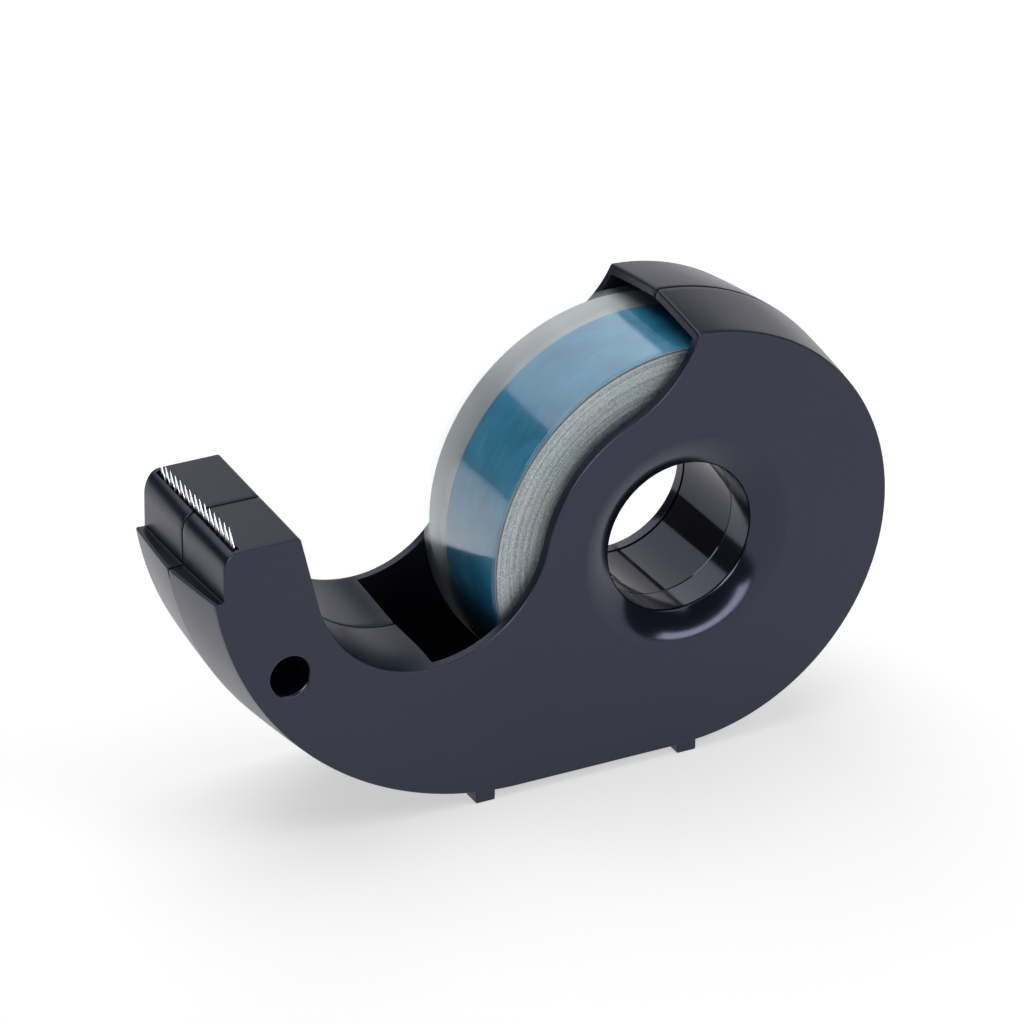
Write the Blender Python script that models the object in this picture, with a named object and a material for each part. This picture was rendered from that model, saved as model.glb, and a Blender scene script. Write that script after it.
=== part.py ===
"""Hand-held tape dispenser: two snap-together half shells, a hub sleeve, a cutter and a roll of tape.

Metres, +Z up. +X points from the cutter nose to the roll end, +Y from the near half to the far half.
The origin lies on the resting plane, at the middle of the overall length and width.
Outlines are drawn in millimetres from the hub axis and scaled on the way into a mesh.
"""

import math

import bmesh
import bpy
from mathutils import Matrix, Vector

MM = 0.001

# Body
SIDE_RADIUS = 29.5  # round end of the body, at its side faces
HALF_WIDTH = 11.75
WALL = 1.1
SEAM = 0.15  # half the parting gap between the two half shells

# Crowns: how far each stretch of the skin stands above its side edges at the seam
CROWN = 1.3  # the round back
NOSE_CROWN = 1.0  # the belly and the front lip
LOW_CROWN = 0.3  # the base
FRONT_CROWN = 0.2
TOP_CROWN = 0.6
FADE = 0.6  # the low crown has grown to the full one at this share of the radius
TENT = 0.75  # share of a crown that rises straight to the seam; the rest is a bow

# The throat between nose and lip climbs from the near face to the far one
THROAT_LIFT = 0.7  # at the seam, above the near face
FAR_THROAT_RISE = 1.4  # at the far face, above the seam
LIP_FADE = 2.6  # power of its run-out along the end of the lip
FAR_TOP_RISE = 0.6  # the same for the top of the nose

# Base and feet
BASE_Z = -29.6
FOOT_HEIGHT = 1.3
FOOT_LENGTH = 2.8
FOOT_DEPTH = 2.9
FOOT_INSET = 0.05
FOOT_X = (-28.7, 0.8)

# Outline of the side faces
RIM_RADIUS = 20.5  # the side wall's rim runs round the hub in front of the roll
FLOOR_CENTRE = (-36.4, 7.2)
LIP_ARC_CENTRE = (-14.9, 33.8)
BELLY_CENTRE = (-23.9, 13.9)
NOSE_TOP_Z = 13.4
NOSE_BACK_X = -55.0
NOSE_BACK_SLOPE = 0.24  # run towards the roll for each unit of drop
FRONT_X = -65.6
FRONT_ROUNDING = 2.1
LEDGE_Z = 6.8
LIP_TIP = (-66.75, 6.9)
FLOOR_EDGE_X = -36.1  # the floor ends here and the tape compartment begins
BELLY_START = -15.9  # the flat base ends here
CROWN_END = -86  # bearing of the point where the round back runs into the base

# Hub
BORE_RADIUS = 10.4
DISH_RADIUS = 14.9
DISH_DEPTH = 2.0
DISH_POWER = 1.5  # the dish falls away from its rim with this power of the distance
PAD_RADIUS = 15.6  # the wall is thicker behind the dish
PAD_END = 9.8
SPIGOT_RADIUS = 11.3
NEAR_SPIGOT_END = 4.9  # distances from the mid-plane
FAR_SPIGOT_END = 8.1
SLEEVE_RADIUS = 12.4
SLEEVE_HALF_LENGTH = 9.5
PLAY = 0.3  # gap between pieces that touch
SLEEVE_FIT = 0.1  # round the spigots, which hold the sleeve

# Roll of tape
CORE_RADII = (12.75, 14.3)
TURNS_RADII = (14.42, 26.3)
BAND_RADII = (26.42, 26.55)
OUTER_TURNS_RADII = (26.67, 27.1)
ROLL_HALF_WIDTH = 9.5
BAND_Y = (-9.35, 4.2)

# Cutter
TEETH = 15
TOOTH_PITCH = 1.42
TOOTH_HEIGHT = 2.9
TOOTH_ROOT = 0.3
BLADE_THICKNESS = 0.4
BLADE_DEPTH = 5.6  # the part inside the slot
BLADE_X = -63.6
BLADE_LEAN = math.radians(8)
SLOT_WIDTH = 1.0
SLOT_CLEARANCE = 0.35
BLOCK_BACK_X = -59.8
BLOCK_BOTTOM_Z = 5.6

# Nose hole, and the pegs that locate one half on the other
NOSE_HOLE = (-56.5, -5.7)
NOSE_HOLE_RADIUS = 2.95
NOSE_BOSS_RADIUS = 4.3
NOSE_PEG_RADIUS = 2.6
NOSE_PEG_REACH = 4.5
NOSE_RECESS_END = 4.0
PEG_PLACES = ((-48.0, -11.5), (-32.4, -24.1))
PEG_RADIUS = 1.2
PEG_REACH = 4.0
PEG_ROOT = 2.0  # pegs begin this deep in their bosses
SOCKET_RADIUS = 1.5
BOSS_RADIUS = 2.6
BOSS_END = 0.3  # bosses stop this far from the mid-plane
OVERRUN = 1.0  # cutting tools pass this far beyond the faces they open

# How far the tool that hollows the tape compartment passes out through the mouth
MOUTH_TURN = 8  # degrees past the lip
MOUTH_CORNERS = ((-22.0, 26.0), (-9.0, 33.0))

# Where the hub axis stands above the origin
LIP_BOW_X = LIP_TIP[0] - NOSE_CROWN
HUB_X = -(LIP_BOW_X + SIDE_RADIUS + CROWN) / 2
HUB_Z = FOOT_HEIGHT - BASE_Z
HUB = Vector((HUB_X, 0, HUB_Z)) * MM

ROUND_STEPS = 64
SMALL_STEPS = 28
DISH_STEPS = 7
RINGS = (0.0, 0.25, 0.5, 0.75, 0.9, 1.0)  # lofted sections, from the seam to the side face

COLOURS = {
    "satin_black": ((0.028, 0.029, 0.042, 1), 0.45, 0.0),
    "gloss_black": ((0.012, 0.012, 0.016, 1), 0.15, 0.0),
    "steel": ((0.72, 0.73, 0.75, 1), 0.25, 1.0),
    "core_white": ((0.62, 0.63, 0.62, 1), 0.5, 0.0),
    "clear_tape": ((0.42, 0.47, 0.48, 1), 0.2, 0.0),
    "blue_print": ((0.02, 0.16, 0.28, 1), 0.3, 0.0),
}


# ---------------------------------------------------------------- scene helpers


def clear_scene():
    for obj in list(bpy.data.objects):
        bpy.data.objects.remove(obj, do_unlink=True)


def material(name):
    found = bpy.data.materials.get(name)
    if found:
        return found
    colour, rough, metal = COLOURS[name]
    made = bpy.data.materials.new(name)
    made.use_nodes = True
    shader = made.node_tree.nodes["Principled BSDF"]
    shader.inputs["Base Color"].default_value = colour
    shader.inputs["Roughness"].default_value = rough
    shader.inputs["Metallic"].default_value = metal
    return made


def object_from(bm, name, colour=None):
    """An object at the hub axis, from a bmesh in millimetres. Without a colour it is a cutter or a tool."""
    bmesh.ops.recalc_face_normals(bm, faces=bm.faces)
    bmesh.ops.scale(bm, verts=bm.verts, vec=(MM, MM, MM))
    mesh = bpy.data.meshes.new(name)
    bm.to_mesh(mesh)
    bm.free()
    mesh.shade_smooth()
    mesh.set_sharp_from_angle(angle=math.radians(30))
    obj = bpy.data.objects.new(name, mesh)
    obj.location = HUB
    bpy.context.scene.collection.objects.link(obj)
    if colour:
        mesh.materials.append(material(colour))
    else:
        obj.hide_render = True
        obj.display_type = "WIRE"
    return obj


def boolean(obj, tool, operation):
    step = obj.modifiers.new(tool.name, "BOOLEAN")
    step.operation = operation
    step.object = tool
    step.solver = "MANIFOLD"  # EXACT leaves open edges where round bosses meet the crowned walls


# ---------------------------------------------------------------- plane geometry


def arc(centre, radius, start, end, steps):
    """Points on an arc from start to end degrees, both included."""
    points = []
    for k in range(steps + 1):
        angle = math.radians(start + (end - start) * k / steps)
        points.append((centre[0] + radius * math.cos(angle), centre[1] + radius * math.sin(angle)))
    return points


def bearing(centre, point):
    return math.degrees(math.atan2(point[1] - centre[1], point[0] - centre[0]))


def circles_meet(first, first_radius, second, second_radius):
    """The right-hand crossing of two circles."""
    span = math.dist(first, second)
    along = (first_radius**2 - second_radius**2 + span**2) / (2 * span)
    across = math.sqrt(first_radius**2 - along**2)
    ux = (second[0] - first[0]) / span
    uz = (second[1] - first[1]) / span
    foot = (first[0] + ux * along, first[1] + uz * along)
    sides = [(foot[0] - uz * s, foot[1] + ux * s) for s in (across, -across)]
    return max(sides)


FLOOR_RADIUS = math.hypot(*FLOOR_CENTRE) - RIM_RADIUS
LIP_ARC_RADIUS = math.hypot(*LIP_ARC_CENTRE) - RIM_RADIUS
BELLY_RADIUS = BELLY_CENTRE[1] - BASE_Z
LIP_CORNER = circles_meet((0, 0), SIDE_RADIUS, LIP_ARC_CENTRE, LIP_ARC_RADIUS)
LIP_FOOT_X = LIP_ARC_CENTRE[0] * RIM_RADIUS / math.hypot(*LIP_ARC_CENTRE)  # the lip's end begins here


def back_face_x(z):
    return NOSE_BACK_X + NOSE_BACK_SLOPE * (NOSE_TOP_Z - z)


def floor_start():
    """Bearing, from the floor's centre, of the point where the slanted nose back runs into the floor."""
    return 180 + math.degrees(math.atan(NOSE_BACK_SLOPE))


def marked(points, kind):
    return [(x, z, kind) for x, z in points]


def throat_outline():
    """Along the floor behind the nose, then up the side wall's rim to the lip."""
    rim_start = bearing(FLOOR_CENTRE, (0, 0))
    edge = 2 - math.degrees(math.acos((FLOOR_EDGE_X - FLOOR_CENTRE[0]) / FLOOR_RADIUS))
    points = marked(arc(FLOOR_CENTRE, FLOOR_RADIUS, floor_start(), 360 + edge, 14), "floor")
    points += marked(arc(FLOOR_CENTRE, FLOOR_RADIUS, edge, rim_start, 9)[1:], "floor")
    arc_end = bearing((0, 0), LIP_ARC_CENTRE)
    points += marked(arc((0, 0), RIM_RADIUS, rim_start + 180, arc_end, 12)[1:], "rim")
    lip_start = bearing(LIP_ARC_CENTRE, (0, 0))
    lip_end = bearing(LIP_ARC_CENTRE, LIP_CORNER)
    lip = arc(LIP_ARC_CENTRE, LIP_ARC_RADIUS, lip_start, lip_end, 9)
    return points + marked(lip[1:-1], "lip")


def outline():
    """The side outline as (x, z, kind) points: down the round back, along the base and up the nose."""
    lip_bearing = bearing((0, 0), LIP_CORNER)
    points = marked(arc((0, 0), SIDE_RADIUS, lip_bearing, CROWN_END, 34), "crown")
    points += marked([(0.0, BASE_Z), (BELLY_START, BASE_Z)], "base")
    tip_bearing = bearing(BELLY_CENTRE, LIP_TIP)
    points += marked(arc(BELLY_CENTRE, BELLY_RADIUS, -90, tip_bearing, 22), "belly")
    points.append((FRONT_X, LEDGE_Z, "front"))
    top_centre = (FRONT_X + FRONT_ROUNDING, NOSE_TOP_Z - FRONT_ROUNDING)
    points += marked(arc(top_centre, FRONT_ROUNDING, 180, 90, 5)[:-1], "front")
    points += marked([(top_centre[0], NOSE_TOP_Z), (NOSE_BACK_X, NOSE_TOP_Z)], "top")
    return points + throat_outline()


# ---------------------------------------------------------------- crowned bodies


def crown_share(t):
    """How much of the crown is left at t, from 1 at the seam (t = 0) to 0 at the side face (t = 1)."""
    return 1 - TENT * t - (1 - TENT) * t * t


def faded_crown(full, across):
    """The crown where the skin has come this share of its radius round from the base."""
    return LOW_CROWN + (full - LOW_CROWN) * min(1.0, across / FADE)


def scaled(vector, length):
    """The vector turned into one of this length."""
    size = math.hypot(*vector)
    return vector[0] / size * length, vector[1] / size * length


def back_offset(x, z, t):
    """The round back swells out from the hub."""
    full = CROWN if z > 0 else faded_crown(CROWN, max(0.0, x) / math.hypot(x, z))
    lift = full * crown_share(t)
    if (x, z) != LIP_CORNER:
        return scaled((x, z), lift)
    # The lip's corner climbs along the end of the lip instead.
    slope = scaled((LIP_ARC_CENTRE[1] - z, x - LIP_ARC_CENTRE[0]), 1.0)
    climb = lift * SIDE_RADIUS / (slope[0] * x + slope[1] * z)
    return slope[0] * climb, slope[1] * climb


def belly_offset(x, z, t):
    across = (BELLY_CENTRE[0] - x) / BELLY_RADIUS
    away = (x - BELLY_CENTRE[0], z - BELLY_CENTRE[1])
    return scaled(away, faded_crown(NOSE_CROWN, across) * crown_share(t))


def throat_lift(t, side):
    if side > 0:
        return THROAT_LIFT + FAR_THROAT_RISE * t
    return THROAT_LIFT * (1 - t**4)


def throat_offset(x, z, kind, t, side):
    """The floor and the rims swell into the opening, and run out at the nose back and the lip's corner."""
    lift = throat_lift(t, side)
    if kind == "rim":
        return scaled((x, z), lift)
    if kind == "floor":
        if x < FLOOR_CENTRE[0]:
            lift *= max(0.0, FLOOR_CENTRE[1] - z) / FLOOR_RADIUS
        return scaled((FLOOR_CENTRE[0] - x, FLOOR_CENTRE[1] - z), lift)
    left = (LIP_CORNER[0] - x) / (LIP_CORNER[0] - LIP_FOOT_X)
    lift *= 1 - (1 - min(1.0, left)) ** LIP_FADE
    return scaled((LIP_ARC_CENTRE[0] - x, LIP_ARC_CENTRE[1] - z), lift)


def top_offset(t, side):
    if side > 0:
        return 0.0, TOP_CROWN + FAR_TOP_RISE * t
    return 0.0, TOP_CROWN * crown_share(t)


def offset(x, z, kind, t, side):
    """How far a point of the outline moves in the section at t."""
    if kind == "crown":
        return back_offset(x, z, t)
    if kind == "belly":
        return belly_offset(x, z, t)
    if kind == "base":
        return 0.0, -LOW_CROWN * crown_share(t)
    if kind == "front":
        return -FRONT_CROWN * crown_share(t), 0.0
    if kind == "top":
        return top_offset(t, side)
    if kind == "plain":
        return 0.0, 0.0
    return throat_offset(x, z, kind, t, side)


def loft(points, side, first_y, last_y):
    """A closed body through crowned sections of one outline, from first_y at the seam to last_y."""
    bm = bmesh.new()
    rows = []
    for t in RINGS:
        y = side * (first_y + (last_y - first_y) * t)
        row = []
        for x, z, kind in points:
            dx, dz = offset(x, z, kind, t * last_y / HALF_WIDTH, side)
            row.append(bm.verts.new((x + dx, y, z + dz)))
        rows.append(row)
    for lower, upper in zip(rows, rows[1:]):
        for k in range(len(points)):
            n = (k + 1) % len(points)
            bm.faces.new((lower[k], lower[n], upper[n], upper[k]))
    bmesh.ops.triangulate(bm, faces=bm.faces)
    bm.faces.new(rows[0])
    bm.faces.new(rows[-1])
    return bm


def bearing_at(x, centre, radius):
    """Bearing of the point below the centre where a circle stands at x."""
    return -math.degrees(math.acos((x - centre[0]) / radius))


def compartment():
    """The hollow that holds the roll. It passes out through the mouth, above the rims of the side walls."""
    inner = SIDE_RADIUS - WALL
    lip = circles_meet((0, 0), inner, LIP_ARC_CENTRE, LIP_ARC_RADIUS)
    start = bearing((0, 0), lip) + MOUTH_TURN
    points = marked(arc((0, 0), inner, start, CROWN_END, 34), "crown")
    belly = BELLY_RADIUS - WALL
    edge = bearing_at(FLOOR_EDGE_X, BELLY_CENTRE, belly)
    points += marked(arc(BELLY_CENTRE, belly, -90, edge, 6), "plain")
    return points + marked([(FLOOR_EDGE_X, 0.0), *MOUTH_CORNERS], "plain")


def nose_hollow():
    """The hollow behind the cutter block, closed by the floor above it and the partition behind it."""
    inner = BELLY_RADIUS - WALL
    front = FRONT_X + WALL
    partition = FLOOR_EDGE_X - WALL
    start = bearing_at(partition, BELLY_CENTRE, inner)
    end = bearing_at(front, BELLY_CENTRE, inner)
    points = marked(arc(BELLY_CENTRE, inner, start, end, 16), "belly")
    ceiling = NOSE_TOP_Z - WALL
    back_wall = WALL * math.hypot(1, NOSE_BACK_SLOPE)
    middle = [
        (front, BLOCK_BOTTOM_Z),
        (BLOCK_BACK_X, BLOCK_BOTTOM_Z),
        (BLOCK_BACK_X, ceiling),
        (back_face_x(ceiling) - back_wall, ceiling),
    ]
    points += marked(middle, "plain")
    floor_radius = FLOOR_RADIUS + WALL
    floor_edge = bearing_at(partition, FLOOR_CENTRE, floor_radius)
    floor = arc(FLOOR_CENTRE, floor_radius, floor_start(), 360 + floor_edge, 12)
    return points + marked(floor, "plain")


# ---------------------------------------------------------------- turned and extruded bodies


def turned(profile, centre, steps):
    """A body turned about an axis along Y through centre, from a closed profile of (radius, y) points."""
    bm = bmesh.new()
    verts = [bm.verts.new((radius, y, 0)) for radius, y in profile]
    edges = [bm.edges.new((verts[k - 1], verts[k])) for k in range(len(verts))]
    bmesh.ops.spin(
        bm,
        geom=verts + edges,
        cent=(0, 0, 0),
        axis=(0, 1, 0),
        angle=2 * math.pi,
        steps=steps,
        use_merge=True,
        use_duplicate=False,
    )
    bmesh.ops.remove_doubles(bm, verts=bm.verts, dist=1e-4)
    on_axis = [edge for edge in bm.edges if not edge.link_faces]
    bmesh.ops.delete(bm, geom=on_axis, context="EDGES")
    bmesh.ops.translate(bm, verts=bm.verts, vec=(centre[0], 0, centre[1]))
    return bm


def rod(radius, first_y, last_y, centre=(0, 0), steps=SMALL_STEPS):
    return turned([(0, first_y), (radius, first_y), (radius, last_y), (0, last_y)], centre, steps)


def tube(inner, outer, first_y, last_y):
    profile = [(inner, first_y), (outer, first_y), (outer, last_y), (inner, last_y)]
    return turned(profile, (0, 0), ROUND_STEPS)


def block(low, high):
    bm = bmesh.new()
    bmesh.ops.create_cube(bm, size=1)
    size = [b - a for a, b in zip(low, high)]
    middle = [(a + b) / 2 for a, b in zip(low, high)]
    bmesh.ops.scale(bm, verts=bm.verts, vec=size)
    bmesh.ops.translate(bm, verts=bm.verts, vec=middle)
    return bm


# ---------------------------------------------------------------- half shells


def add_body_hollows(shell, name, side):
    hollow = object_from(loft(compartment(), side, -1.0, HALF_WIDTH - WALL), f"{name}_compartment")
    boolean(shell, hollow, "DIFFERENCE")
    nose = object_from(loft(nose_hollow(), side, -1.0, HALF_WIDTH - WALL), f"{name}_nose_hollow")
    boolean(shell, nose, "DIFFERENCE")


def add_feet(shell, name, side):
    for k, x in enumerate(FOOT_X):
        ys = sorted((side * (HALF_WIDTH - FOOT_DEPTH), side * (HALF_WIDTH - FOOT_INSET)))
        low = (x - FOOT_LENGTH / 2, ys[0], BASE_Z - FOOT_HEIGHT)
        high = (x + FOOT_LENGTH / 2, ys[1], BASE_Z + WALL / 2)
        boolean(shell, object_from(block(low, high), f"{name}_foot_{k}"), "UNION")


def dish_points(side):
    """Down the dish from its rim on the side face to the bore."""
    points = []
    for k in range(DISH_STEPS + 1):
        share = k / DISH_STEPS
        radius = DISH_RADIUS - (DISH_RADIUS - BORE_RADIUS) * share
        points.append((radius, side * (HALF_WIDTH - DISH_DEPTH * share**DISH_POWER)))
    return points


def add_hub(shell, name, side, spigot_end):
    """The pad behind the dish, the spigot that carries the sleeve, and the bore through them."""
    root = HALF_WIDTH - WALL / 2
    pad = rod(PAD_RADIUS, side * root, side * PAD_END, steps=ROUND_STEPS)
    boolean(shell, object_from(pad, f"{name}_pad"), "UNION")
    spigot = rod(SPIGOT_RADIUS, side * root, side * spigot_end, steps=ROUND_STEPS)
    boolean(shell, object_from(spigot, f"{name}_spigot"), "UNION")
    outside = side * (HALF_WIDTH + OVERRUN)
    inside = side * (spigot_end - OVERRUN)
    profile = [(0, outside), (DISH_RADIUS, outside), *dish_points(side), (BORE_RADIUS, inside), (0, inside)]
    bore = turned(profile, (0, 0), ROUND_STEPS)
    boolean(shell, object_from(bore, f"{name}_bore"), "DIFFERENCE")


def add_cutter_slot(shell, name, side):
    """The slot for the cutter. It opens at the top and at the seam, and stops short of the side face."""
    end = TEETH * TOOTH_PITCH / 2 + SLOT_CLEARANCE
    ys = sorted((-side * OVERRUN, side * end))
    low = (-SLOT_WIDTH / 2, ys[0], -BLADE_DEPTH - SLOT_CLEARANCE)
    high = (SLOT_WIDTH / 2, ys[1], TOOTH_HEIGHT)
    bm = block(low, high)
    lean_blade(bm)
    boolean(shell, object_from(bm, f"{name}_slot"), "DIFFERENCE")


def add_pegs(shell, name, side):
    """Bosses on both halves: those of the far half end in pegs, and those of the near half are sockets."""
    is_far = side > 0
    root = HALF_WIDTH - WALL / 2
    for k, place in enumerate(PEG_PLACES):
        boss = rod(BOSS_RADIUS, side * root, side * BOSS_END, place, 16)
        boolean(shell, object_from(boss, f"{name}_boss_{k}"), "UNION")
        if is_far:
            peg = rod(PEG_RADIUS, PEG_ROOT, -PEG_REACH, place, 12)
            boolean(shell, object_from(peg, f"{name}_peg_{k}"), "UNION")
        else:
            socket = rod(SOCKET_RADIUS, OVERRUN, -PEG_REACH - OVERRUN, place, 12)
            boolean(shell, object_from(socket, f"{name}_socket_{k}"), "DIFFERENCE")


def add_nose_hole(shell, name, side):
    """The round hole in the nose. A stout peg of the far half ends inside the near half's hole."""
    is_far = side > 0
    root = HALF_WIDTH - WALL / 2
    boss = rod(NOSE_BOSS_RADIUS, side * root, side * BOSS_END, NOSE_HOLE)
    boolean(shell, object_from(boss, f"{name}_nose_boss"), "UNION")
    inner = NOSE_RECESS_END if is_far else OVERRUN
    hole = rod(NOSE_HOLE_RADIUS, inner, side * (HALF_WIDTH + OVERRUN), NOSE_HOLE)
    boolean(shell, object_from(hole, f"{name}_nose_hole"), "DIFFERENCE")
    if is_far:
        peg = rod(NOSE_PEG_RADIUS, PEG_ROOT, -NOSE_PEG_REACH, NOSE_HOLE)
        boolean(shell, object_from(peg, f"{name}_nose_peg"), "UNION")


def half_shell(name, side, spigot_end):
    shell = object_from(loft(outline(), side, SEAM, HALF_WIDTH), name, "satin_black")
    add_body_hollows(shell, name, side)
    add_feet(shell, name, side)
    add_pegs(shell, name, side)
    add_nose_hole(shell, name, side)
    add_hub(shell, name, side, spigot_end)
    add_cutter_slot(shell, name, side)
    return shell


# ---------------------------------------------------------------- hub sleeve, cutter and roll


def hub_sleeve():
    """The tube that the roll turns on. Each end is counterbored to fit over a shell's spigot."""
    socket = SPIGOT_RADIUS + SLEEVE_FIT
    near = -SLEEVE_HALF_LENGTH
    near_step = -NEAR_SPIGOT_END + PLAY
    far_step = FAR_SPIGOT_END - PLAY
    far = SLEEVE_HALF_LENGTH
    profile = [
        (socket, near),
        (SLEEVE_RADIUS, near),
        (SLEEVE_RADIUS, far),
        (socket, far),
        (socket, far_step),
        (BORE_RADIUS, far_step),
        (BORE_RADIUS, near_step),
        (socket, near_step),
    ]
    return object_from(turned(profile, (0, 0), ROUND_STEPS), "hub_sleeve", "gloss_black")


def lean_blade(bm):
    """Moves a body drawn about the cutter's root line to its place, leaning forward over the front."""
    turn = Matrix.Rotation(-BLADE_LEAN, 4, "Y")
    bmesh.ops.transform(bm, matrix=turn, verts=bm.verts)
    bmesh.ops.translate(bm, verts=bm.verts, vec=(BLADE_X, 0, NOSE_TOP_Z))


def cutter_blade():
    """A strip of steel with a row of pointed teeth along its top edge."""
    half = TEETH * TOOTH_PITCH / 2
    points = [(-half, -BLADE_DEPTH), (half, -BLADE_DEPTH), (half, TOOTH_ROOT)]
    for k in range(TEETH, 0, -1):
        right = -half + k * TOOTH_PITCH
        points.append((right - TOOTH_PITCH * 0.5, TOOTH_HEIGHT))
        points.append((right - TOOTH_PITCH, TOOTH_ROOT))
    bm = bmesh.new()
    half_thick = BLADE_THICKNESS / 2
    front = [bm.verts.new((-half_thick, y, z)) for y, z in points]
    face = bm.faces.new(front)
    made = bmesh.ops.extrude_face_region(bm, geom=[face])
    moved = [v for v in made["geom"] if isinstance(v, bmesh.types.BMVert)]
    bmesh.ops.translate(bm, verts=moved, vec=(BLADE_THICKNESS, 0, 0))
    lean_blade(bm)
    return object_from(bm, "cutter_blade", "steel")


def tape_roll():
    wide = ROLL_HALF_WIDTH
    object_from(tube(*CORE_RADII, -wide, wide), "tape_core", "core_white")
    object_from(tube(*TURNS_RADII, -wide, wide), "tape_turns", "clear_tape")
    object_from(tube(*BAND_RADII, *BAND_Y), "printed_band", "blue_print")
    object_from(tube(*OUTER_TURNS_RADII, -wide, wide), "outer_turns", "clear_tape")


def main():
    clear_scene()
    half_shell("far_shell", 1, FAR_SPIGOT_END)
    half_shell("near_shell", -1, NEAR_SPIGOT_END)
    hub_sleeve()
    cutter_blade()
    tape_roll()


main()
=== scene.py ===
"""The looks of the hand-held tape dispenser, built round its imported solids.

Lengths below are in millimetres from the hub axis, as in the part's own design, and turn into metres in
the row frame on the way into a mesh: +X runs from the cutter nose to the roll end, +Y from the near half
to the far half along the hub axis, and +Z up.
"""

import math

import bmesh
import bpy
import numpy as np
from mathutils import Matrix, Vector


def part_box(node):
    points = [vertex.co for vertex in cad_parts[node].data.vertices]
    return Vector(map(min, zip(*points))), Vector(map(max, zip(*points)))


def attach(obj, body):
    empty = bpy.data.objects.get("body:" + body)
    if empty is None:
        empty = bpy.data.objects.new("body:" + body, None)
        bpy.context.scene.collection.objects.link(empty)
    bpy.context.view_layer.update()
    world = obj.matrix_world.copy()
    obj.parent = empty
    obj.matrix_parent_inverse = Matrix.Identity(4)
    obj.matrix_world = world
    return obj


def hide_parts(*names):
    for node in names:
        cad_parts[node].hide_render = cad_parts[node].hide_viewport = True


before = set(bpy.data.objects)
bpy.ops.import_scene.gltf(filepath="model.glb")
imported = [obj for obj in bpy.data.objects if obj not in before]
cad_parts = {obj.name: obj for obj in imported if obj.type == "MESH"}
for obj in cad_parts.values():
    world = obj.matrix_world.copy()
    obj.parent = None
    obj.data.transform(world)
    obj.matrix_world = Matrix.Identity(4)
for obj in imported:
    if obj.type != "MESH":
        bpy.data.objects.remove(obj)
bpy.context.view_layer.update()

MM = 0.001
SLEEVE_LOW, SLEEVE_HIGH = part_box("hub_sleeve")
HUB = (SLEEVE_LOW + SLEEVE_HIGH) / 2

# ---------------------------------------------------------------- the design, as in the solids

SIDE_RADIUS = 29.5
HALF_WIDTH = 11.75
WALL = 1.1
CROWN = 1.3
NOSE_CROWN = 1.0
LOW_CROWN = 0.3  # the crown along the base
TOP_CROWN = 0.6
FAR_TOP_RISE = 0.6  # the nose top climbs on to the far face
FRONT_CROWN = 0.2
FADE = 0.6  # the low crown has grown to the full one at this share of the radius
TENT = 0.75  # share of a crown that rises straight to the seam; the rest is a bow
SEAM = 0.15  # half the parting gap

BASE_Z = -29.6
FOOT_HEIGHT = 1.3
FOOT_LENGTH = 2.8
FOOT_DEPTH = 2.9
FOOT_X = (-28.7, 0.8)

RIM_RADIUS = 20.5
FLOOR_CENTRE = (-36.4, 7.2)
LIP_ARC_CENTRE = (-14.9, 33.8)
BELLY_CENTRE = (-23.9, 13.9)
BELLY_START = -15.9  # the flat base ends here
NOSE_TOP_Z = 13.4
NOSE_BACK_X = -55.0
NOSE_BACK_SLOPE = 0.24
FRONT_X = -65.6
FRONT_ROUNDING = 2.1
LEDGE_Z = 6.8
LIP_TIP = (-66.75, 6.9)
FLOOR_EDGE_X = -36.1
THROAT_LIFT = 0.7  # how far the floor and rims swell into the opening at the seam
FAR_THROAT_RISE = 1.4  # and how much further at the far face
LIP_FADE = 2.6  # power by which that swelling runs out along the end of the lip
CROWN_END = -86  # bearing of the point where the round back runs into the base
BASE_STOP = 1  # the base ends this far before the belly's arc

BORE_RADIUS = 10.4
DISH_RADIUS = 14.9
DISH_DEPTH = 2.0
DISH_POWER = 1.5
PAD_RADIUS = 15.6
PAD_END = 9.8  # from the mid-plane, as are the other ends
SPIGOT_RADIUS = 11.3
NEAR_SPIGOT_END = 4.9
FAR_SPIGOT_END = 8.1
SLEEVE_RADIUS = 12.4
SLEEVE_HALF_LENGTH = 9.5
PLAY = 0.3  # between the far spigot's end and its step in the sleeve
SLEEVE_FIT = 0.1  # between the spigots and the sleeve's counterbores
NEAR_END_GAP = 0.08  # between the near spigot's end and the step in the sleeve

CORE_RADII = (12.75, 14.3)
TURNS_RADII = (14.42, 26.3)
BAND_RADII = (26.42, 26.55)
OUTER_TURNS_RADII = (26.67, 27.1)
ROLL_HALF_WIDTH = 9.5
BAND_Y = (-9.35, 4.2)

TEETH = 15
TOOTH_PITCH = 1.42
TOOTH_HEIGHT = 2.9
TOOTH_ROOT = 0.3
BLADE_THICKNESS = 0.4
BLADE_DEPTH = 5.6
BLADE_X = -63.6
BLADE_LEAN = math.radians(8)
SLOT_WIDTH = 1.0
SLOT_CLEARANCE = 0.35
BLOCK_BACK_X = -59.8
BLOCK_BOTTOM_Z = 5.6

NOSE_HOLE = (-56.5, -5.7)
NOSE_HOLE_RADIUS = 2.7
NOSE_BOSS_RADIUS = 4.3
NOSE_PEG_RADIUS = 2.35
NOSE_PEG_REACH = 4.5
NOSE_RECESS_END = 4.0
PEG_PLACES = ((-48.0, -11.5), (-32.4, -24.1))
PEG_RADIUS = 1.2
PEG_REACH = 4.0
SOCKET_RADIUS = 1.5
BOSS_RADIUS = 2.6
BOSS_END = 0.3
PEG_ROOT = 2.0  # pegs begin this deep in their bosses

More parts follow.
